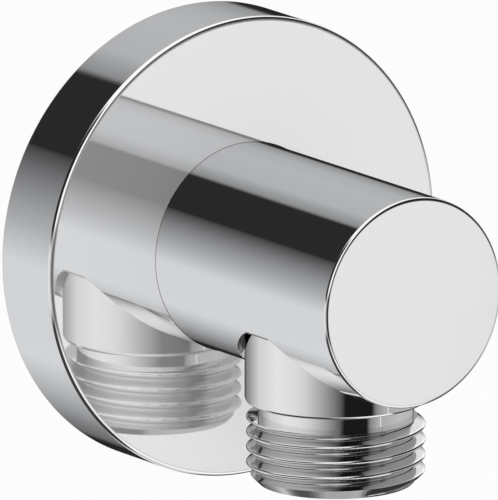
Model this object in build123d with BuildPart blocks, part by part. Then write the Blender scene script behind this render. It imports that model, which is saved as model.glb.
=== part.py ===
import os
from math import hypot, radians, tan

from build123d import *

os.makedirs("parts", exist_ok=True)

# Frame: the wall plane is XZ at Y = 0, the barrel stands out of it along -Y and the outlet points down -Z.
# All sizes are in millimetres.

# Parallel pipe thread G 1/2, the same at the wall inlet and at the hose outlet, drawn as closed rings at its pitch
thread_d = 20.955
thread_pitch = 1.814
thread_depth = 1.162
thread_flank_angle = 27.5
thread_cut_overrun = 0.2
relief_below_root = 0.2
thread_end_chamfer = 1.4

# Barrel and its shank in the wall
barrel_d = 25.0
barrel_reach = 44.5
barrel_edge_radius = 0.6
shoulder_setback = 4.0
inlet_relief_width = 2.0
inlet_thread_length = 15.0
inlet_bore_d = 12.0
inlet_bore_past_outlet = 4.0

# Outlet seat in the underside of the barrel
outlet_setback = 15.7
seat_drop = 5.55
pocket_gap = 1.15
pocket_edge_radius = 0.3
socket_headroom = 4.0
surface_tolerance = 0.001

# Outlet nipple
collar_d = 21.3
collar_length = 9.0
collar_edge_radius = 0.25
outlet_relief_width = 1.8
outlet_thread_length = 8.0
shank_d = 18.0
shank_length = 6.2
shank_clearance = 0.03
nipple_edge_chamfer = 0.5
cartridge_bore_d = 14.5
cartridge_bore_depth = 15.0
key_across_flats = 10.0

# Escutcheon
escutcheon_d = 55.0
escutcheon_depth = 10.0
escutcheon_edge_radius = 1.2
face_wall = 2.4
rim_wall = 1.8
boss_wall = 3.4
boss_setback = 2.5
barrel_clearance = 0.1
gasket_thickness = 2.5
gasket_width = 3.0
gasket_clearance = 0.05
ledge_width = 0.8

# Sealing rings
ring_clearance = 0.02
groove_side_play = 0.2
barrel_ring_section = 1.8
shank_ring_section = 1.5
cartridge_ring_section = 1.3

# Non-return cartridge in the outlet bore
cartridge_clearance = 0.08
cartridge_length = 13.0
cartridge_edge_chamfer = 0.4
seat_wall = 3.2
valve_seat_d = 8.4
cartridge_wall = 1.2
guide_seat_depth = 2.4
guide_seat_step = 0.4
guide_clearance = 0.05
guide_ring_wall = 1.1
guide_hub_d = 6.4
guide_rib_width = 1.4
guide_rib_count = 3
stop_sleeve_d = 3.9

# Poppet and its spring
poppet_d = 9.8
poppet_thickness = 1.4
poppet_nose_d = 6.0
poppet_nose_height = 2.6
poppet_seal_thickness = 1.0
poppet_seal_clearance = 0.05
poppet_lift = 2.5
lift_margin = 0.05
stem_d = 2.4
stem_clearance = 0.05
stem_tip_chamfer = 0.3
stem_end_margin = 0.6
spring_wire_d = 0.4
spring_mean_d = 5.0
spring_coils = 4.5
spring_end_clearance = 0.02

# Values that follow from the sizes above
thread_r = thread_d / 2
thread_root_r = thread_r - thread_depth
thread_flank_slope = tan(radians(thread_flank_angle))
thread_crest_width = thread_pitch / 2 - thread_depth * thread_flank_slope
relief_r = thread_root_r - relief_below_root
barrel_r = barrel_d / 2
inlet_thread_start = -shoulder_setback + inlet_relief_width
inlet_end = inlet_thread_start + inlet_thread_length

outlet_reach = barrel_reach - outlet_setback
pocket_r = collar_d / 2 + pocket_gap
socket_r = shank_d / 2 + shank_clearance
seat_z = -seat_drop
collar_end_z = seat_z - collar_length
outlet_thread_start_z = collar_end_z - outlet_relief_width
outlet_end_z = outlet_thread_start_z - outlet_thread_length
shank_end_z = seat_z + shank_length
shank_groove_r = shank_d / 2 - shank_ring_section
shank_groove_width = shank_ring_section + groove_side_play
shank_ring_z = seat_z + shank_length / 2

escutcheon_r = escutcheon_d / 2
gasket_seat_r = escutcheon_r - rim_wall
hollow_r = gasket_seat_r - ledge_width
hole_r = barrel_r + barrel_clearance
boss_r = hole_r + boss_wall
barrel_ring_groove_r = barrel_r + barrel_ring_section
barrel_ring_y = -(escutcheon_depth + boss_setback) / 2

cartridge_top_z = outlet_end_z + cartridge_bore_depth
cartridge_end_z = cartridge_top_z - cartridge_length
cartridge_r = cartridge_bore_d / 2 - cartridge_clearance
cartridge_inner_r = cartridge_r - cartridge_wall
valve_seat_z = cartridge_top_z - seat_wall
cartridge_groove_r = cartridge_bore_d / 2 - cartridge_ring_section
cartridge_ring_z = cartridge_top_z - seat_wall / 2
guide_seat_r = cartridge_inner_r + guide_seat_step
guide_top_z = cartridge_end_z + guide_seat_depth
guide_r = guide_seat_r - guide_clearance

poppet_top_z = valve_seat_z - poppet_seal_thickness
poppet_under_z = poppet_top_z - poppet_thickness
stem_end_z = cartridge_end_z + stem_end_margin
stop_sleeve_top_z = poppet_under_z - poppet_lift - lift_margin

outlet_plane = Plane.XZ.offset(outlet_reach)
outlet_axis = Axis((0, -outlet_reach, 0), (0, 0, 1))
outlet_point = (0, -outlet_reach)


# Round sealing ring about the given axis
def sealing_ring(plane, axis, inner_r, height, section, label):
    with BuildPart() as ring:
        with BuildSketch(plane):
            with Locations((inner_r + section / 2, height)):
                Circle(section / 2 - ring_clearance)
        revolve(axis=axis)
    ring.part.label = label
    export_step(ring.part, f"parts/{label}.step")


# Grooves of a thread, from its first crest on
def thread_grooves(plane, axis, first_crest, direction, length):
    cut_depth = thread_depth + thread_cut_overrun
    half_root = thread_crest_width / 2
    half_mouth = half_root + cut_depth * thread_flank_slope
    turns = range(int(length / thread_pitch))
    with BuildPart() as grooves:
        with BuildSketch(plane):
            with Locations(
                *[
                    (thread_root_r, first_crest + direction * (half_root + thread_pitch * (turn + 0.5)))
                    for turn in turns
                ]
            ):
                Polygon((0, -half_root), (cut_depth, -half_mouth), (cut_depth, half_mouth), (0, half_root))
        revolve(axis=axis)
    return grooves.part


# Elbow body: barrel with a closed front, the shank for the wall and the seat for the outlet nipple
with BuildPart() as elbow_body:
    with BuildSketch(Plane.XY):
        with BuildLine():
            Polyline(
                (0, -barrel_reach),
                (barrel_r, -barrel_reach),
                (barrel_r, -shoulder_setback),
                (relief_r, -shoulder_setback),
                (relief_r, inlet_thread_start),
                (thread_r, inlet_thread_start),
                (thread_r, inlet_end - thread_end_chamfer),
                (thread_r - thread_end_chamfer, inlet_end),
                (0, inlet_end),
                close=True,
            )
        make_face()
    revolve(axis=Axis.Y)
    fillet(elbow_body.edges().filter_by(GeomType.CIRCLE).sort_by(Axis.Y)[0], barrel_edge_radius)
    with BuildSketch(Plane.XZ.offset(-inlet_end)):
        Circle(inlet_bore_d / 2)
    extrude(amount=inlet_end + outlet_reach + inlet_bore_past_outlet, mode=Mode.SUBTRACT)
    with BuildSketch(Plane.XY.offset(seat_z)):
        with Locations(outlet_point):
            Circle(pocket_r)
    extrude(amount=-barrel_r, mode=Mode.SUBTRACT)
    pocket_rim = elbow_body.edges(Select.LAST).filter_by(
        lambda edge: abs(hypot((edge @ 0.5).X, (edge @ 0.5).Z) - barrel_r) < surface_tolerance
    )
    fillet(pocket_rim, pocket_edge_radius)
    with BuildSketch(Plane.XY.offset(seat_z)):
        with Locations(outlet_point):
            Circle(socket_r)
    extrude(amount=shank_length + socket_headroom, mode=Mode.SUBTRACT)
    add(thread_grooves(Plane.XY, Axis.Y, inlet_thread_start, 1, inlet_thread_length), mode=Mode.SUBTRACT)
elbow_body.part.label = "elbow_body"
export_step(elbow_body.part, "parts/elbow_body.step")

# Outlet nipple: shank with a ring groove, collar, thread relief and the hose's thread
with BuildPart() as outlet_nipple:
    with BuildSketch(outlet_plane):
        with BuildLine():
            Polyline(
                (0, shank_end_z),
                (shank_d / 2, shank_end_z),
                (shank_d / 2, shank_ring_z + shank_groove_width / 2),
                (shank_groove_r, shank_ring_z + shank_groove_width / 2),
                (shank_groove_r, shank_ring_z - shank_groove_width / 2),
                (shank_d / 2, shank_ring_z - shank_groove_width / 2),
                (shank_d / 2, seat_z),
                (collar_d / 2, seat_z),
                (collar_d / 2, collar_end_z),
                (relief_r, collar_end_z),
                (relief_r, outlet_thread_start_z),
                (thread_r, outlet_thread_start_z),
                (thread_r, outlet_end_z + thread_end_chamfer),
                (thread_r - thread_end_chamfer, outlet_end_z),
                (0, outlet_end_z),
                close=True,
            )
        make_face()
    revolve(axis=outlet_axis)
    turned_edges = outlet_nipple.edges().filter_by(GeomType.CIRCLE)
    chamfer(turned_edges.sort_by(Axis.Z)[-1], nipple_edge_chamfer)
    collar_edge = turned_edges.filter_by_position(Axis.Z, collar_end_z, collar_end_z).sort_by(SortBy.RADIUS)[-1]
    fillet(collar_edge, collar_edge_radius)
    with BuildSketch(Plane.XY.offset(outlet_end_z)):
        with Locations(outlet_point):
            Circle(cartridge_bore_d / 2)
    extrude(amount=cartridge_bore_depth, mode=Mode.SUBTRACT)
    with BuildSketch(Plane.XY.offset(shank_end_z)):
        with Locations(outlet_point):
            RegularPolygon(key_across_flats / 2, 6, major_radius=False)
    extrude(amount=-(shank_end_z - cartridge_top_z), mode=Mode.SUBTRACT)
    add(
        thread_grooves(outlet_plane, outlet_axis, outlet_thread_start_z, -1, outlet_thread_length), mode=Mode.SUBTRACT
    )
outlet_nipple.part.label = "outlet_nipple"
export_step(outlet_nipple.part, "parts/outlet_nipple.step")

# Escutcheon: hollow-backed disc with a boss that slides on the barrel
with BuildPart() as escutcheon:
    with BuildSketch(Plane.XY):
        with BuildLine():
            Polyline(
                (hole_r, -escutcheon_depth),
                (escutcheon_r, -escutcheon_depth),
                (escutcheon_r, 0),
                (gasket_seat_r, 0),
                (gasket_seat_r, -gasket_thickness),
                (hollow_r, -gasket_thickness),
                (hollow_r, face_wall - escutcheon_depth),
                (boss_r, face_wall - escutcheon_depth),
                (boss_r, -boss_setback),
                (hole_r, -boss_setback),
                (hole_r, barrel_ring_y + barrel_ring_section / 2 + groove_side_play),
                (barrel_ring_groove_r, barrel_ring_y + barrel_ring_section / 2 + groove_side_play),
                (barrel_ring_groove_r, barrel_ring_y - barrel_ring_section / 2 - groove_side_play),
                (hole_r, barrel_ring_y - barrel_ring_section / 2 - groove_side_play),
                close=True,
            )
        make_face()
    revolve(axis=Axis.Y)
    front_rim = escutcheon.edges().filter_by(GeomType.CIRCLE).group_by(Axis.Y)[0].sort_by(SortBy.LENGTH)[-1]
    fillet(front_rim, escutcheon_edge_radius)
escutcheon.part.label = "escutcheon"
export_step(escutcheon.part, "parts/escutcheon.step")

# Flat foam gasket in the back of the escutcheon
with BuildPart() as wall_gasket:
    with BuildSketch(Plane.XZ):
        Circle(gasket_seat_r - gasket_clearance)
        Circle(gasket_seat_r - gasket_clearance - gasket_width, mode=Mode.SUBTRACT)
    extrude(amount=gasket_thickness)
wall_gasket.part.label = "wall_gasket"
export_step(wall_gasket.part, "parts/wall_gasket.step")

# Sealing rings on the barrel, the nipple's shank and the cartridge
sealing_ring(Plane.XY, Axis.Y, barrel_r, barrel_ring_y, barrel_ring_section, "barrel_ring")
sealing_ring(outlet_plane, outlet_axis, shank_groove_r, shank_ring_z, shank_ring_section, "shank_ring")
sealing_ring(
    outlet_plane, outlet_axis, cartridge_groove_r, cartridge_ring_z, cartridge_ring_section, "cartridge_ring"
)

# Cartridge housing with the valve seat at its top
with BuildPart() as cartridge_housing:
    with BuildSketch(outlet_plane):
        with BuildLine():
            Polyline(
                (valve_seat_d / 2, cartridge_top_z),
                (cartridge_r, cartridge_top_z),
                (cartridge_r, cartridge_ring_z + (cartridge_ring_section + groove_side_play) / 2),
                (cartridge_groove_r, cartridge_ring_z + (cartridge_ring_section + groove_side_play) / 2),
                (cartridge_groove_r, cartridge_ring_z - (cartridge_ring_section + groove_side_play) / 2),
                (cartridge_r, cartridge_ring_z - (cartridge_ring_section + groove_side_play) / 2),
                (cartridge_r, cartridge_end_z),
                (guide_seat_r, cartridge_end_z),
                (guide_seat_r, guide_top_z),
                (cartridge_inner_r, guide_top_z),
                (cartridge_inner_r, valve_seat_z),
                (valve_seat_d / 2, valve_seat_z),
                close=True,
            )
        make_face()
    revolve(axis=outlet_axis)
    housing_rims = cartridge_housing.edges().filter_by(GeomType.CIRCLE).group_by(Axis.Z)
    chamfer(housing_rims[-1], cartridge_edge_chamfer)
cartridge_housing.part.label = "cartridge_housing"
export_step(cartridge_housing.part, "parts/cartridge_housing.step")

# Guide: ring, ribs and hub that carry the poppet's stem, with the sleeve that stops its lift
with BuildPart() as cartridge_guide:
    with BuildSketch(Plane.XY.offset(cartridge_end_z)):
        with Locations(outlet_point):
            Circle(guide_r)
            Circle(guide_r - guide_ring_wall, mode=Mode.SUBTRACT)
            with PolarLocations(0, guide_rib_count):
                Rectangle(guide_r - guide_ring_wall / 2, guide_rib_width, align=(Align.MIN, Align.CENTER))
            Circle(guide_hub_d / 2)
    extrude(amount=guide_seat_depth)
    with BuildSketch(Plane.XY.offset(guide_top_z)):
        with Locations(outlet_point):
            Circle(stop_sleeve_d / 2)
    extrude(amount=stop_sleeve_top_z - guide_top_z)
    with BuildSketch(Plane.XY.offset(cartridge_end_z)):
        with Locations(outlet_point):
            Circle(stem_d / 2 + stem_clearance)
    extrude(amount=stop_sleeve_top_z - cartridge_end_z, mode=Mode.SUBTRACT)
cartridge_guide.part.label = "cartridge_guide"
export_step(cartridge_guide.part, "parts/cartridge_guide.step")

# Poppet: domed nose, disc and stem
with BuildPart() as valve_poppet:
    nose_top_z = poppet_top_z + poppet_nose_height
    nose_shoulder_z = poppet_top_z + poppet_seal_thickness
    dome_height = nose_top_z - nose_shoulder_z
    dome_radius = ((poppet_nose_d / 2) ** 2 + dome_height**2) / (2 * dome_height)
    with BuildSketch(outlet_plane):
        with BuildLine():
            dome = RadiusArc((0, nose_top_z), (poppet_nose_d / 2, nose_shoulder_z), dome_radius)
            Polyline(
                dome @ 1,
                (poppet_nose_d / 2, poppet_top_z),
                (poppet_d / 2, poppet_top_z),
                (poppet_d / 2, poppet_under_z),
                (stem_d / 2, poppet_under_z),
                (stem_d / 2, stem_end_z + stem_tip_chamfer),
                (stem_d / 2 - stem_tip_chamfer, stem_end_z),
                (0, stem_end_z),
                dome @ 0,
            )
        make_face()
    revolve(axis=outlet_axis)
valve_poppet.part.label = "valve_poppet"
export_step(valve_poppet.part, "parts/valve_poppet.step")

# Flat seal that the poppet presses against the valve seat
with BuildPart() as poppet_seal:
    with BuildSketch(Plane.XY.offset(poppet_top_z)):
        with Locations(outlet_point):
            Circle(poppet_d / 2)
            Circle(poppet_nose_d / 2 + poppet_seal_clearance, mode=Mode.SUBTRACT)
    extrude(amount=poppet_seal_thickness)
poppet_seal.part.label = "poppet_seal"
export_step(poppet_seal.part, "parts/poppet_seal.step")

# Closing spring between the guide's hub and the poppet
with BuildPart() as valve_spring:
    spring_bottom_z = guide_top_z + spring_wire_d / 2 + spring_end_clearance
    spring_top_z = poppet_under_z - spring_wire_d / 2 - spring_end_clearance
    spring_height = spring_top_z - spring_bottom_z
    with BuildLine(Plane((0, -outlet_reach, spring_bottom_z))) as spring_path:
        Helix(pitch=spring_height / spring_coils, height=spring_height, radius=spring_mean_d / 2)
    with BuildSketch(Plane(origin=spring_path.line @ 0, z_dir=spring_path.line % 0)):
        Circle(spring_wire_d / 2)
    sweep(path=spring_path.line, is_frenet=True)
valve_spring.part.label = "valve_spring"
export_step(valve_spring.part, "parts/valve_spring.step")
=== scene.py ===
import math

import bmesh
import bpy
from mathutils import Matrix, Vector


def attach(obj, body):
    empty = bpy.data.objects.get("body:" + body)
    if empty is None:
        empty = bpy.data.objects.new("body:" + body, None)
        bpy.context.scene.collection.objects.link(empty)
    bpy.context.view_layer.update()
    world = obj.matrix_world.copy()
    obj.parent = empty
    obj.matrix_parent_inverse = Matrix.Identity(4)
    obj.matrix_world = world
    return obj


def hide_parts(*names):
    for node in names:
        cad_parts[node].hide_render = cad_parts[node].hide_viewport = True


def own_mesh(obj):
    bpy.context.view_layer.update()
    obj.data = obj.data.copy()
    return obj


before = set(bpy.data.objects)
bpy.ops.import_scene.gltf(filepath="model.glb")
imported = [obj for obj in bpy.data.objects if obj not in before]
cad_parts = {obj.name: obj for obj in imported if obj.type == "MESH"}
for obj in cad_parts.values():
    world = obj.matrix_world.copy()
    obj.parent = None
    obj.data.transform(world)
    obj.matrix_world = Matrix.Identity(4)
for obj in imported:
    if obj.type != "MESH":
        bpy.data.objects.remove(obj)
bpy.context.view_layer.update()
scene = bpy.context.scene
mm = 0.001
fullTurn = 2 * math.pi
print("frame loaded:", len(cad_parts), "nodes")


class Signal:  # a node's socket that can stand in a sum
    def __init__(self, tree, socket=None):
        self.tree = tree
        self.socket = socket

    def node(self, kind, settings=None, inputs=None, out=0):  # any node: settings first, then its sockets
        made = self.tree.nodes.new(kind)
        for key, value in (settings or {}).items():
            if key == "stops":
                ramp = made.color_ramp
                ramp.elements.remove(ramp.elements[1])
                ramp.elements[0].position = value[0][0]
                for place, _ in value[1:]:
                    ramp.elements.new(place)
                for element, (_, colour) in zip(ramp.elements, value):
                    element.color = colour
            else:
                setattr(made, key, value)
        for key, value in (inputs or {}).items():
            if isinstance(value, Signal):
                self.tree.links.new(value.socket, made.inputs[key])
            else:
                made.inputs[key].default_value = value
        return Signal(self.tree, made.outputs[out] if len(made.outputs) else None)

    def math(self, operation, *values):
        return self.node("ShaderNodeMath", {"operation": operation}, dict(enumerate(values)))

    def __add__(self, other):
        return self.math("ADD", self, other)

    def __radd__(self, other):
        return self.math("ADD", other, self)

    def __sub__(self, other):
        return self.math("SUBTRACT", self, other)

    def __rsub__(self, other):
        return self.math("SUBTRACT", other, self)

    def __mul__(self, other):
        return self.math("MULTIPLY", self, other)

    def __rmul__(self, other):
        return self.math("MULTIPLY", other, self)

    def __truediv__(self, other):
        return self.math("DIVIDE", self, other)

    def __neg__(self):
        return self.math("MULTIPLY", self, -1)

    def larger(self, other):
        return self.math("MAXIMUM", self, other)

    def near(self, value, reach):  # 1 within reach of the value, 0 outside
        return self.math("COMPARE", self, value, reach)

    def step(self, low, high):  # 0 below low, 1 above high, smooth between
        return self.node("ShaderNodeMapRange", {"interpolation_type": "SMOOTHSTEP"},
                         {"Value": self, "From Min": low, "From Max": high})

    def stepMm(self, low, high):  # the same, between two places in mm
        return self.step(low * mm, high * mm)

    def blend(self, low, high):  # a colour: low where this is 0, high where it is 1
        return self.node("ShaderNodeMix", {"data_type": "RGBA"}, {0: self, 6: low, 7: high}, 2)

    def axes(self):  # the three parts of a vector
        parts = self.node("ShaderNodeSeparateXYZ", None, {0: self}).socket.node.outputs
        return [Signal(self.tree, part) for part in parts]


def newTree(holder):  # an empty node tree to build in
    holder.use_nodes = True
    holder.node_tree.nodes.clear()
    return Signal(holder.node_tree)


def plainGrey(light):
    return (light, light, light, 1)


def screenGrey(level):  # a screen grey of 0 to 255 as the light that chrome turns into it
    share = level / 255
    light = share / 12.92 if share <= 0.04045 else ((share + 0.055) / 1.055) ** 2.4
    return plainGrey(light / studio["chromeLoss"])


# camera: degrees, metres to the object, and mm that the aim is off the wall's centre
photoView = {
    "turn": 34.9, "height": 13.45, "distance": 2.5, "pixelsPerMm": 8.5, "long": 500,
    "aimRight": 6.35, "aimUp": -2.28, "sensor": 36, "clip": (0.1, 20),
}
turn, height = math.radians(photoView["turn"]), math.radians(photoView["height"])
ahead = Vector((math.sin(turn) * math.cos(height), math.cos(turn) * math.cos(height), -math.sin(height)))


def placeCamera(view):
    right = Vector((math.cos(turn), -math.sin(turn), 0))
    up = right.cross(ahead)
    aim = (right * view["aimRight"] + up * view["aimUp"]) * mm
    lens = bpy.data.cameras.new("photoCamera")
    lens.sensor_width = view["sensor"]
    lens.lens = lens.sensor_width * view["pixelsPerMm"] * view["distance"] / mm / view["long"]
    lens.clip_start, lens.clip_end = view["clip"]
    camera = bpy.data.objects.new("photoCamera", lens)
    scene.collection.objects.link(camera)
    camera.location = aim - ahead * view["distance"]
    camera.rotation_euler = ahead.to_track_quat("-Z", "Y").to_euler()
    scene.camera = camera


placeCamera(photoView)
print("camera placed")

# studio that the chrome mirrors: the two bands as (degrees, screen grey), the other panels as screen greys
studio = {
    "chromeLoss": 0.95,  # share of the light that chrome gives back
    "tunnelSeam": -22.6,  # round the barrel, from the dark gap behind the object
    "tunnel": [(-22.6, 35), (-18, 40), (0, 135), (28, 173), (50, 180), (80, 176), (96, 137), (99, 40), (142, 40),
               (143.5, 68), (150, 97), (180, 171), (200, 210), (250, 211), (295, 125), (325, 50), (337.3, 35)],
    "cool": (0.988, 1.0, 1.022),  # tint of the bands round the barrel
    "ringSeam": 55.0,  # round the outlet, from the same gap
    "ring": [(55, 40), (96, 155), (120, 205), (155, 227), (180, 220), (195, 206), (241, 88), (247, 25), (282, 25),
             (288, 135), (300, 170), (345, 188), (385, 180), (414.9, 40)],
    "face": 228,  # panel that the flat fronts see
    "gap": 36,  # behind the object
    "roofBack": 250, "roofFront": 34,
    "ground": 250, "groundMiddle": 188, "groundDark": 58,
    "soft": 0.62,  # light on all that isn't chrome
    "white": 1.0,  # what the camera sees round the object
    "lamp": {"place": (-0.7, -1.1, 1.4), "size": 1.2, "power": 14.0},
}

# where the panels end, as (none, full) along a direction, and how far a reach goes
panelEdges = {
    "second": 3.0, "depthReach": 0.5, "deep": (2.4, 2.6),  # in mirrors on a ray's way, the camera's ray being 1
    "barrelReach": 0.05, "outletReach": 0.04, "levelReach": 0.1, "levelGap": 0.045,
    "front": (-0.77, -0.6), "ringTop": (-0.05, 0.1),
    "roof": (-0.05, 0.1), "roofDip": 0.15, "roofDipAt": (0.7, 0.85),
    "roofSlant": 1.1, "roofShift": 0.6, "roofSoft": (-0.1, 0.1), "roofLeft": (0.45, 0.6), "roofLeftBack": (-0.5, -0.35),
    "ground": (0.4, 0.55), "groundMiddle": (0.85, 0.97), "groundRight": (0.6, 0.66),
    "groundBack": (-0.15, 0.0), "groundBackRight": (0.3, 0.45),
    "groundLeft": (-0.08, 0.0), "groundLeftBack": (-0.7, -0.5),
    "face": (0.9998, 0.9999), "gap": (0.95, 0.975),
}


def panels(start, kind, angle):
    seam = studio[kind + "Seam"]
    stops = [((degrees - seam) / 360, screenGrey(grey)) for degrees, grey in studio[kind]]
    share = start.math("FRACT", angle / fullTurn - seam / 360 + 1)
    if kind == "tunnel":
        stops = [(place, tuple(part * cool for part, cool in zip(light, studio["cool"])) + (1,))
                 for place, light in stops]
    return start.node("ShaderNodeValToRGB", {"stops": stops}, {0: share})


def buildStudio():
    grey = {name: screenGrey(studio[name]) for name in
            ("face", "gap", "roofBack", "roofFront", "ground", "groundMiddle", "groundDark")}
    scene.world = bpy.data.worlds.new("studio")
    start = newTree(scene.world)
    x, y, z = start.node("ShaderNodeTexCoord", out="Generated").axes()
    # what the disc mirrors of the barrel and the outlet is lit as they are
    depth = start.node("ShaderNodeLightPath", out="Ray Depth")
    second = depth.near(panelEdges["second"], panelEdges["depthReach"])
    shallow = 1 - depth.step(*panelEdges["deep"])  # after two mirrors only the bands are left
    onBarrel = second * y.near(-ahead.y, panelEdges["barrelReach"])
    onOutlet = second * z.near(ahead.z, panelEdges["outletReach"])
    y = y * (1 - 2 * onBarrel.larger(onOutlet))
    # bands round the barrel and round the outlet
    tunnel = panels(start, "tunnel", start.math("ARCTAN2", z, x))
    ring = panels(start, "ring", start.math("ARCTAN2", y, x))
    front = (-y).step(*panelEdges["front"])
    level = z.near(ahead.z, panelEdges["levelReach"]) * (1 - y.near(ahead.y, panelEdges["levelGap"]))
    onRing = (front * (-z).step(*panelEdges["ringTop"])).larger(level.larger((1 - shallow) * (1 - onBarrel)))
    light = onRing.blend(tunnel, ring)
    # roof, dark to the right in front and to the left behind
    slant = panelEdges["roofSlant"] * x - y - panelEdges["roofShift"]
    roofLeft = (-x).step(*panelEdges["roofLeft"]) * y.step(*panelEdges["roofLeftBack"])
    roof = slant.step(*panelEdges["roofSoft"]).larger(roofLeft).blend(grey["roofBack"], grey["roofFront"])
    overhead = (z + panelEdges["roofDip"] * x.step(*panelEdges["roofDipAt"])).step(*panelEdges["roof"])
    light = (front * overhead * shallow).blend(light, roof)
    # ground, greyer in the middle and dark at the right and at the left behind
    ground = (-z).step(*panelEdges["groundMiddle"]).blend(grey["ground"], grey["groundMiddle"])
    groundBack = x.step(*panelEdges["groundBackRight"]) * y.step(*panelEdges["groundBack"])
    groundLeft = (-x).step(*panelEdges["groundLeft"]) * y.step(*panelEdges["groundLeftBack"])
    groundDark = groundBack.larger(x.step(*panelEdges["groundRight"])).larger(groundLeft)
    ground = groundDark.blend(ground, grey["groundDark"])
    light = (front * (-z).step(*panelEdges["ground"]) * shallow).blend(light, ground)
    # panel in front and gap behind
    toFace = x * ahead.x - y * ahead.y + z * ahead.z
    light = toFace.step(*panelEdges["face"]).blend(light, grey["face"])
    toGap = x * ahead.x + y * ahead.y + z * ahead.z
    light = toGap.step(*panelEdges["gap"]).blend(light, grey["gap"])
    light = start.node("ShaderNodeLightPath", out="Is Glossy Ray").blend(plainGrey(studio["soft"]), light)
    light = start.node("ShaderNodeLightPath", out="Is Camera Ray").blend(light, plainGrey(studio["white"]))
    shine = start.node("ShaderNodeBackground", None, {"Color": light})
    start.node("ShaderNodeOutputWorld", None, {"Surface": shine})


def hangLamp(place):
    panel = bpy.data.lights.new("softPanel", "AREA")
    panel.size, panel.energy = place["size"], place["power"]
    lamp = bpy.data.objects.new("softPanel", panel)
    scene.collection.objects.link(lamp)
    lamp.location = place["place"]
    lamp.rotation_euler = (-lamp.location).to_track_quat("-Z", "Y").to_euler()
    lamp.visible_glossy = False


buildStudio()
hangLamp(studio["lamp"])
scene.view_settings.view_transform = "Standard"
print("studio lit")

# pale floor in metres, well below the part that hangs on a wall
floorPlace = {"height": -0.15, "size": 8.0, "cuts": 8, "grey": 0.88, "mottle": 0.01, "mottleScale": 3.0, "glow": 0.93}


def layFloor(place):
    bpy.ops.object.select_all(action="DESELECT")
    bpy.ops.mesh.primitive_grid_add(x_subdivisions=place["cuts"], y_subdivisions=place["cuts"], size=place["size"],
                                    location=(0, 0, place["height"]))
    floor = bpy.context.object
    floor.name = "studioFloor"
    bpy.ops.object.transform_apply(location=True, rotation=False, scale=False)
    material = bpy.data.materials.new("paleFloor")
    start = newTree(material)
    spot = start.node("ShaderNodeTexCoord", out="Object")
    cloud = start.node("ShaderNodeTexNoise", None, {"Vector": spot, "Scale": place["mottleScale"]})
    tone = cloud.blend(plainGrey(place["grey"] - place["mottle"]), plainGrey(place["grey"] + place["mottle"]))
    paint = start.node("ShaderNodeBsdfDiffuse", None, {"Color": tone})
    glow = start.node("ShaderNodeEmission", None, {"Color": plainGrey(1), "Strength": 1.0})
    seen = start.node("ShaderNodeLightPath", out="Is Camera Ray")
    top = start.node("ShaderNodeMixShader", None, {0: seen * place["glow"], 1: paint, 2: glow})
    below = start.node("ShaderNodeNewGeometry", out="Backfacing")
    clear = start.node("ShaderNodeBsdfTransparent")
    surface = start.node("ShaderNodeMixShader", None, {0: below, 1: top, 2: clear})
    start.node("ShaderNodeOutputMaterial", None, {"Surface": surface})
    floor.data.materials.append(material)
    floor.visible_glossy = False


layFloor(floorPlace)
print("floor laid")

# mirror chrome: a faint haze on the disc's face; painted shade with rougher metal in the pocket, a painted shadow line
# along its straight edge, painted shade on the barrel under the disc and in the thread's grooves; each pair is where a
# tone starts and where it is full, in mm
chrome = {
    "tint": (0.95, 0.953, 0.957, 1), "polish": 0.022, "swirl": 0.016, "swirlScale": 260.0, "swirlDetail": 3.0,
    "hazeShare": 0.31, "hazeFront": (9.9, 10.0),
    # painted shade colours for the pocket and for the thread's grooves, and the roughness added where they lie
    "pocketTone": (0.18, 0.18, 0.184, 1), "grooveTone": (0.69, 0.69, 0.695, 1), "dullRoughness": 0.06,
    "outletAt": -28.8, "pocketSkin": (11.5, 11.6), "pocketFrom": (-43.0, -42.5), "pocketTo": (-12.5, -12.0),
    "seatHalf": (2.1, 2.5), "seatAbove": (-5.6, -5.57), "seatBelow": (5.33, 5.38),
    "coveredFrom": (-9.98, -9.96), "coveredTo": (9.0, 9.2),
    "groove": (10.1, 10.4), "grooveBelow": (16.3, 16.4),
}


def paintedShadeMask(start, spot, x, y, z):  # 1 where shade is painted into the metal's colour, which is also rougher there
    out = y - chrome["outletAt"] * mm
    if spot == "groove":
        radius = start.math("SQRT", x * x + out * out)
        # painted shade in the thread's grooves, inside the crests below the relief
        return (1 - radius.stepMm(*chrome["groove"])) * (-z).stepMm(*chrome["grooveBelow"])
    skin = start.math("SQRT", x * x + z * z)
    # painted shade on the pocket's inner wall and floor
    inside = 1 - skin.stepMm(*chrome["pocketSkin"])
    # a painted shadow line along the straight edge of the pocket's floor
    seatShadowLine = 1 - start.math("ABSOLUTE", out).stepMm(*chrome["seatHalf"])
    seatShadowLine = seatShadowLine * z.stepMm(*chrome["seatAbove"]) * (-z).stepMm(*chrome["seatBelow"])
    outlet = y.stepMm(*chrome["pocketFrom"]) * (1 - y.stepMm(*chrome["pocketTo"]))
    # painted shade on the barrel where it goes into the disc's hole
    discShade = y.stepMm(*chrome["coveredFrom"]) * (-y).stepMm(*chrome["coveredTo"])
    return (inside.larger(seatShadowLine) * outlet).larger(discShade)


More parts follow.
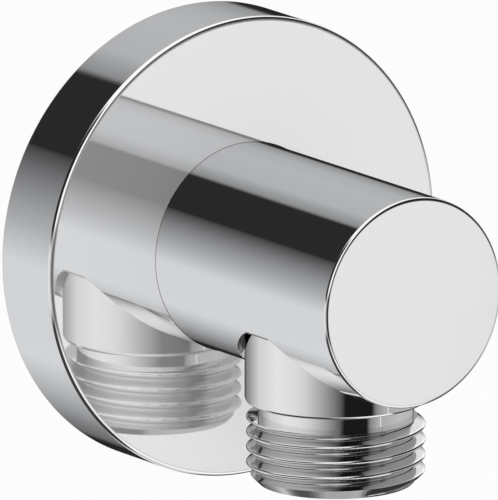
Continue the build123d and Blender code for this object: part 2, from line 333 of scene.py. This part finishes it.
def chromeFinish(name, spot):
    material = bpy.data.materials.new(name)
    start = newTree(material)
    place = start.node("ShaderNodeTexCoord", out="Object")
    x, y, z = place.axes()
    swirl = start.node("ShaderNodeTexNoise", None,
                       {"Vector": place, "Scale": chrome["swirlScale"], "Detail": chrome["swirlDetail"]})
    roughness = chrome["polish"] + chrome["swirl"] * swirl
    inputs = {"Base Color": chrome["tint"], "Metallic": 1.0}
    if spot == "disc":
        inputs["Metallic"] = 1 - chrome["hazeShare"] * (-y).stepMm(*chrome["hazeFront"])
    else:
        paintedShade = paintedShadeMask(start, spot, x, y, z)
        # the painted shade darkens the base colour; the same mask makes the metal rougher
        inputs["Base Color"] = paintedShade.blend(chrome["tint"], chrome[spot + "Tone"])
        roughness = roughness + chrome["dullRoughness"] * paintedShade
    inputs["Roughness"] = roughness
    shader = start.node("ShaderNodeBsdfPrincipled", None, inputs)
    start.node("ShaderNodeOutputMaterial", None, {"Surface": shader})
    return material


# the soft and moulded pieces inside
innerFinishes = {
    "blackRubber": {
        "nodes": ["barrel_ring", "shank_ring", "cartridge_ring", "poppet_seal"],
        "dark": (0.018, 0.018, 0.018, 1), "light": (0.040, 0.040, 0.041, 1), "scale": 900.0, "rough": (0.48, 0.66),
        "grain": 3500.0, "bump": 0.15},
    "gasketFoam": {
        "nodes": ["wall_gasket"],
        "dark": (0.055, 0.055, 0.062, 1), "light": (0.125, 0.125, 0.135, 1), "scale": 700.0, "rough": (0.78, 0.95),
        "grain": 1900.0, "bump": 0.7, "cells": True},
    "housingPlastic": {
        "nodes": ["cartridge_housing"],
        "dark": (0.80, 0.80, 0.775, 1), "light": (0.88, 0.88, 0.865, 1), "scale": 240.0, "rough": (0.38, 0.50),
        "grain": 2600.0, "bump": 0.10},
    "guidePlastic": {
        "nodes": ["cartridge_guide", "valve_poppet"],
        "dark": (0.095, 0.21, 0.44, 1), "light": (0.14, 0.28, 0.54, 1), "scale": 240.0, "rough": (0.36, 0.50),
        "grain": 2600.0, "bump": 0.10},
    "springSteel": {
        "nodes": ["valve_spring"],
        "dark": (0.50, 0.50, 0.51, 1), "light": (0.70, 0.70, 0.71, 1), "scale": 1800.0, "rough": (0.18, 0.34),
        "grain": 6000.0, "bump": 0.12, "metal": 1.0},
}
innerGrain = {"cloudDetail": 4.0, "grainDetail": 2.0, "cloudShare": 0.6, "grainShare": 0.4, "depth": 0.05}  # in mm


def innerFinish(name, finish):
    material = bpy.data.materials.new(name)
    start = newTree(material)
    place = start.node("ShaderNodeTexCoord", out="Object")
    cloud = start.node("ShaderNodeTexNoise", None,
                       {"Vector": place, "Scale": finish["scale"], "Detail": innerGrain["cloudDetail"]})
    if finish.get("cells"):
        grain = start.node("ShaderNodeTexVoronoi", None, {"Vector": place, "Scale": finish["grain"]})
    else:
        grain = start.node("ShaderNodeTexNoise", None,
                           {"Vector": place, "Scale": finish["grain"], "Detail": innerGrain["grainDetail"]})
    low, high = finish["rough"]
    bump = start.node("ShaderNodeBump", None,
                      {"Strength": finish["bump"], "Distance": innerGrain["depth"] * mm, "Height": grain})
    mottle = innerGrain["cloudShare"] * cloud + innerGrain["grainShare"] * grain
    shader = start.node("ShaderNodeBsdfPrincipled", None, {
        "Base Color": mottle.blend(finish["dark"], finish["light"]), "Metallic": finish.get("metal", 0.0),
        "Roughness": low + (high - low) * cloud, "Normal": bump})
    start.node("ShaderNodeOutputMaterial", None, {"Surface": shader})
    return material


def dress(piece, material):
    piece.data.materials.clear()
    piece.data.materials.append(material)


finishes = {name: innerFinish(name, finish) for name, finish in innerFinishes.items()}
for name, finish in innerFinishes.items():
    for node in finish["nodes"]:
        dress(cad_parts[node], finishes[name])
for node, name in (("escutcheon", "disc"), ("elbow_body", "pocket"), ("outlet_nipple", "groove")):
    finishes[name] = chromeFinish(name + "Chrome", name)
    dress(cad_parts[node], finishes[name])
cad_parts["barrel_ring"].visible_glossy = False  # as the disc, so that the barrel doesn't mirror them
print("finishes mixed")

# how near two points count as one, in metres, and the angle up to which faces are shaded as one
samePoint = 1e-6
weldReach = 1e-7
smoothAngle = 35


def wake(*pieces):  # these alone are selected, the last one active
    bpy.ops.object.select_all(action="DESELECT")
    for piece in pieces:
        piece.select_set(True)
    bpy.context.view_layer.objects.active = pieces[-1]


def pick(piece, kind, test):  # in edit mode, selects what the test passes
    bpy.ops.mesh.select_mode(type=kind)
    bpy.ops.mesh.select_all(action="DESELECT")
    shape = bmesh.from_edit_mesh(piece.data)
    found = {"VERT": shape.verts, "EDGE": shape.edges}[kind]
    count = 0
    for part in found:
        if test(part):
            part.select_set(True)
            count += 1
    shape.select_flush_mode()
    bmesh.update_edit_mesh(piece.data)
    return count


def drawChain(name, points):  # one vertex, pulled from point to point
    bpy.ops.object.select_all(action="DESELECT")
    bpy.ops.mesh.primitive_plane_add(size=mm)
    piece = bpy.context.object
    piece.name = name
    bpy.ops.object.mode_set(mode="EDIT")
    bpy.ops.mesh.select_mode(type="VERT")
    bpy.ops.mesh.select_all(action="SELECT")
    bpy.ops.mesh.merge(type="CENTER")
    bpy.ops.transform.translate(value=points[0])
    for before, after in zip(points, points[1:]):
        bpy.ops.mesh.extrude_vertices_move(TRANSFORM_OT_translate={"value": after - before})
    return piece


def roundCorner(piece, point, radius, segments):  # radius in mm
    if pick(piece, "VERT", lambda corner: (corner.co - point).length < samePoint):
        bpy.ops.mesh.bevel(offset_type="OFFSET", offset=radius * mm, segments=segments, profile=0.5, affect="VERTICES")


def spinAbout(centre, axis, steps):
    bpy.ops.mesh.select_mode(type="VERT")
    bpy.ops.mesh.select_all(action="SELECT")
    bpy.ops.mesh.spin(steps=steps, angle=fullTurn, center=centre, axis=axis)
    bpy.ops.mesh.select_all(action="SELECT")
    bpy.ops.mesh.remove_doubles(threshold=weldReach)
    bpy.ops.mesh.normals_make_consistent(inside=False)
    bpy.ops.object.mode_set(mode="OBJECT")


def applyAll(piece):
    wake(piece)
    for modifier in list(piece.modifiers):
        bpy.ops.object.modifier_apply(modifier=modifier.name)


def carve(piece, cutter):
    cut = piece.modifiers.new("carve", "BOOLEAN")
    cut.operation, cut.solver, cut.object = "DIFFERENCE", "EXACT", cutter
    applyAll(piece)
    bpy.data.objects.remove(cutter)


def drill(piece, radius, along, low, high, corners=96):  # an upright hole in mm
    bpy.ops.object.select_all(action="DESELECT")
    bpy.ops.mesh.primitive_cylinder_add(vertices=corners, radius=radius * mm, depth=(high - low) * mm,
                                        location=(0, along * mm, (low + high) / 2 * mm))
    carve(piece, bpy.context.object)


def smoothOff(piece, angle=smoothAngle):  # smooth shading with the flat faces kept flat
    wake(piece)
    bpy.ops.object.shade_smooth_by_angle(angle=math.radians(angle))
    weigh = piece.modifiers.new("weigh", "WEIGHTED_NORMAL")
    weigh.keep_sharp = True
    applyAll(piece)


def settle(piece):  # its place goes into its mesh
    wake(piece)
    bpy.ops.object.transform_apply(location=True, rotation=True, scale=True)


def coil(piece, turns, rise, steps):  # winds an outline about Z and closes its ends
    screw = piece.modifiers.new("wind", "SCREW")
    screw.axis, screw.angle, screw.screw_offset = "Z", fullTurn * turns, rise
    screw.steps = screw.render_steps = steps
    screw.use_smooth_shade = False
    applyAll(piece)
    bpy.ops.object.mode_set(mode="EDIT")
    bpy.ops.mesh.select_all(action="SELECT")
    bpy.ops.mesh.fill_holes(sides=0)
    bpy.ops.mesh.select_all(action="SELECT")
    bpy.ops.mesh.normals_make_consistent(inside=False)
    bpy.ops.object.mode_set(mode="OBJECT")


def handOver(piece, finish, node):  # the finished piece stands for its CAD node
    dress(piece, finishes[finish])
    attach(piece, "fitting")
    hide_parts(node)
    print(piece.name, "made:", len(piece.data.polygons), "faces")


# pipe thread, the same on the wall side and on the outlet, in mm
pipeThread = {
    "crest": 10.4775, "pitch": 1.814, "depth": 1.162, "flank": 27.5, "rounding": 0.249, "flat": 0.05,
    "curveSteps": 4, "overshoot": 0.5, "runOut": 0.88, "steps": 96,
}


def crestRadius(thread):
    return thread["crest"] - thread["rounding"] + math.sqrt(thread["rounding"] ** 2 - thread["flat"] ** 2)


def grooveTool(thread, start, end, angle):  # a worm in the shape of the thread's groove, standing on Z
    slope, curve = math.radians(thread["flank"]), thread["rounding"]
    root, half = thread["crest"] - thread["depth"], thread["pitch"] / 2
    widest, last = math.pi / 2 - slope, math.asin(thread["flat"] / curve)
    shares = [step / thread["curveSteps"] for step in range(thread["curveSteps"] + 1)]
    side = []
    for share in shares:  # half of the rounded root, then half of the rounded crest
        swing = widest * share
        side.append((root + curve - curve * math.cos(swing), curve * math.sin(swing)))
    for share in shares:
        swing = widest + (last - widest) * share
        side.append((thread["crest"] - curve + curve * math.cos(swing), half - curve * math.sin(swing)))
    side.append((thread["crest"] + thread["overshoot"], side[-1][1]))
    outline = [(far, -width) for far, width in reversed(side[1:])] + side
    worm = drawChain("threadGroove", [Vector((far, 0, start + width)) * mm for far, width in outline])
    bpy.ops.mesh.select_all(action="SELECT")
    bpy.ops.mesh.edge_face_add()
    bpy.ops.mesh.delete(type="ONLY_FACE")
    bpy.ops.object.mode_set(mode="OBJECT")
    turns = (end - start) / thread["pitch"]
    coil(worm, turns, (end - start) * mm, round(thread["steps"] * turns))
    worm.rotation_euler = (0, 0, math.radians(angle))
    settle(worm)
    return worm


# elbow body in mm: radii, and places along Y from the wall
elbow = {
    "barrel": 12.5, "front": -44.5, "edge": 0.4, "edgeSteps": 10, "shoulder": -4.0, "shoulderEdge": 0.2,
    "shoulderSteps": 3, "relief": 9.1155, "threadFrom": -2.0, "threadEnd": 13.0, "chamfer": 1.4, "bore": 6.0,
    "boreEnd": -32.8, "outletAt": -28.8, "pocket": 11.45, "pocketFoot": -25.55, "seat": -5.55, "rim": 0.2,
    "rimSteps": 4, "socket": 9.03, "socketTop": 4.65, "steps": 128,
    "wallReach": 0.01, "floorReach": 0.001, "skinReach": 0.02, "middleReach": 0.03,  # to find the pocket's rim
}


def buildElbow(e):
    crest = crestRadius(pipeThread)
    chain = [(0, e["front"]), (e["barrel"], e["front"]), (e["barrel"], e["shoulder"]), (e["relief"], e["shoulder"]),
             (e["relief"], e["threadFrom"]), (crest, e["threadFrom"]), (crest, e["threadEnd"] - e["chamfer"]),
             (crest - e["chamfer"], e["threadEnd"]), (e["bore"], e["threadEnd"]), (e["bore"], e["boreEnd"]),
             (0, e["boreEnd"])]
    points = [Vector((far, along, 0)) * mm for far, along in chain]
    piece = drawChain("elbowBody", points)
    roundCorner(piece, points[1], e["edge"], e["edgeSteps"])  # front edge
    roundCorner(piece, points[2], e["shoulderEdge"], e["shoulderSteps"])
    spinAbout((0, 0, 0), (0, 1, 0), e["steps"])
    drill(piece, e["pocket"], e["outletAt"], e["pocketFoot"], e["seat"])
    bpy.ops.object.mode_set(mode="EDIT")

    def onRim(edge):  # on the barrel, and on the pocket's wall or floor
        ends = [corner.co / mm for corner in edge.verts]
        middle = (ends[0] + ends[1]) / 2
        walls = all(abs(math.hypot(end.x, end.y - e["outletAt"]) - e["pocket"]) < e["wallReach"] for end in ends)
        floor = all(abs(end.z - e["seat"]) < e["floorReach"] for end in ends)
        skin = all(abs(math.hypot(end.x, end.z) - e["barrel"]) < e["skinReach"] for end in ends)
        return skin and (walls or floor) and abs(math.hypot(middle.x, middle.z) - e["barrel"]) < e["middleReach"]

    print("rim edges:", pick(piece, "EDGE", onRim))
    bpy.ops.mesh.bevel(offset_type="ABSOLUTE", offset=e["rim"] * mm, segments=e["rimSteps"], profile=0.5,
                       affect="EDGES", clamp_overlap=False)
    bpy.ops.object.mode_set(mode="OBJECT")
    drill(piece, e["socket"], e["outletAt"], e["seat"], e["socketTop"])
    worm = grooveTool(pipeThread, e["threadFrom"] - pipeThread["runOut"], e["threadEnd"] + pipeThread["pitch"], 0)
    worm.rotation_euler = (math.radians(-90), 0, 0)
    settle(worm)
    carve(piece, worm)
    smoothOff(piece)
    handOver(piece, "pocket", "elbow_body")


buildElbow(elbow)

# outlet nipple in mm: radii, and heights along Z from the barrel's axis
nipple = {
    "centre": -28.8, "end": -24.35, "endEdge": 0.15, "endSteps": 3, "bore": 7.25, "boreTop": -9.35, "chamfer": 1.4,
    "threadTop": -16.35, "threadAngle": 227.0, "relief": 9.1155, "collar": 10.65, "collarFoot": -14.55,
    "collarEdge": 0.4, "collarSteps": 6, "seat": -5.55, "shank": 9.0, "ringFoot": -3.3, "ringTop": -1.6,
    "ringFloor": 7.5, "top": 0.65, "topChamfer": 0.5, "key": 10.0, "keyFoot": -11.35, "keyTop": 2.65, "steps": 128,
}


def buildNipple(n):
    crest = crestRadius(pipeThread)
    chain = [(0, n["boreTop"]), (n["bore"], n["boreTop"]), (n["bore"], n["end"]), (crest - n["chamfer"], n["end"]),
             (crest, n["end"] + n["chamfer"]), (crest, n["threadTop"]), (n["relief"], n["threadTop"]),
             (n["relief"], n["collarFoot"]), (n["collar"], n["collarFoot"]), (n["collar"], n["seat"]),
             (n["shank"], n["seat"]), (n["shank"], n["ringFoot"]), (n["ringFloor"], n["ringFoot"]),
             (n["ringFloor"], n["ringTop"]), (n["shank"], n["ringTop"]), (n["shank"], n["top"] - n["topChamfer"]),
             (n["shank"] - n["topChamfer"], n["top"]), (0, n["top"])]
    points = [Vector((far, n["centre"], along)) * mm for far, along in chain]
    piece = drawChain("outletNipple", points)
    roundCorner(piece, points[8], n["collarEdge"], n["collarSteps"])  # foot of the collar
    roundCorner(piece, points[2], n["endEdge"], n["endSteps"])  # mouth of the bore
    spinAbout((0, n["centre"] * mm, 0), (0, 0, 1), n["steps"])
    drill(piece, n["key"] / math.sqrt(3), n["centre"], n["keyFoot"], n["keyTop"], corners=6)
    worm = grooveTool(pipeThread, n["end"] - pipeThread["pitch"], n["threadTop"] + pipeThread["runOut"],
                      n["threadAngle"])
    worm.location = (0, n["centre"] * mm, 0)
    settle(worm)
    carve(piece, worm)
    smoothOff(piece)
    handOver(piece, "groove", "outlet_nipple")


buildNipple(nipple)

# escutcheon in mm: radii, and depths along Y from the wall
disc = {
    "rim": 27.5, "front": -10.0, "edge": 0.55, "edgeSteps": 8, "backEdge": 0.2, "backSteps": 3, "hole": 12.6,
    "gasketSeat": 25.7, "gasketFloor": -2.5, "hollow": 24.9, "hollowFloor": -7.6, "hollowEdge": 0.8, "hollowSteps": 4,
    "boss": 16.0, "bossEnd": -2.5, "grooveBack": -5.15, "grooveFront": -7.35, "grooveFloor": 14.3, "steps": 192,
}


def buildDisc(d):
    chain = [(d["hole"], d["front"]), (d["rim"], d["front"]), (d["rim"], 0), (d["gasketSeat"], 0),
             (d["gasketSeat"], d["gasketFloor"]), (d["hollow"], d["gasketFloor"]), (d["hollow"], d["hollowFloor"]),
             (d["boss"], d["hollowFloor"]), (d["boss"], d["bossEnd"]), (d["hole"], d["bossEnd"]),
             (d["hole"], d["grooveBack"]), (d["grooveFloor"], d["grooveBack"]), (d["grooveFloor"], d["grooveFront"]),
             (d["hole"], d["grooveFront"]), (d["hole"], d["front"])]
    points = [Vector((far, along, 0)) * mm for far, along in chain]
    piece = drawChain("escutcheonDisc", points)
    roundCorner(piece, points[1], d["edge"], d["edgeSteps"])  # front edge
    roundCorner(piece, points[2], d["backEdge"], d["backSteps"])
    for corner in (7, 6):  # floor of the hollow
        roundCorner(piece, points[corner], d["hollowEdge"], d["hollowSteps"])
    spinAbout((0, 0, 0), (0, 1, 0), d["steps"])
    smoothOff(piece)
    piece.visible_glossy = False
    handOver(piece, "disc", "escutcheon")


buildDisc(disc)

# foam gasket in mm, with rounded edges
gasket = {"inside": 22.65, "outside": 25.65, "back": 0.0, "front": -2.5, "edge": 0.35, "edgeSteps": 4, "steps": 160}


def buildGasket(g):
    chain = [(g["inside"], g["front"]), (g["outside"], g["front"]), (g["outside"], g["back"]),
             (g["inside"], g["back"]), (g["inside"], g["front"])]
    points = [Vector((far, along, 0)) * mm for far, along in chain]
    piece = drawChain("wallGasket", points)
    for point in points[1:4]:
        roundCorner(piece, point, g["edge"], g["edgeSteps"])
    spinAbout((0, 0, 0), (0, 1, 0), g["steps"])
    smoothOff(piece)
    piece.visible_glossy = False
    handOver(piece, "gasketFoam", "wall_gasket")


buildGasket(gasket)

# closing spring in mm: wire and coil radii, and where it stands on the guide
spring = {
    "wire": 0.2, "coil": 2.5, "turns": 4.5, "bottom": -19.73, "top": -15.17, "seat": -19.95, "centre": -28.8,
    "lift": 2.5, "wireCorners": 10, "stepsPerTurn": 40, "smooth": 50,
}


def buildSpring(s):
    bpy.ops.object.select_all(action="DESELECT")
    bpy.ops.mesh.primitive_circle_add(vertices=s["wireCorners"], radius=s["wire"] * mm,
                                      rotation=(math.radians(90), 0, 0),
                                      location=(s["coil"] * mm, 0, s["bottom"] * mm))
    piece = bpy.context.object
    piece.name = "closingSpring"
    settle(piece)
    coil(piece, s["turns"], (s["top"] - s["bottom"]) * mm, round(s["stepsPerTurn"] * s["turns"]))
    piece.location = (0, s["centre"] * mm, 0)
    settle(piece)
    smoothOff(piece, s["smooth"])
    handOver(piece, "springSteel", "valve_spring")
    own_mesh(piece)


buildSpring(spring)
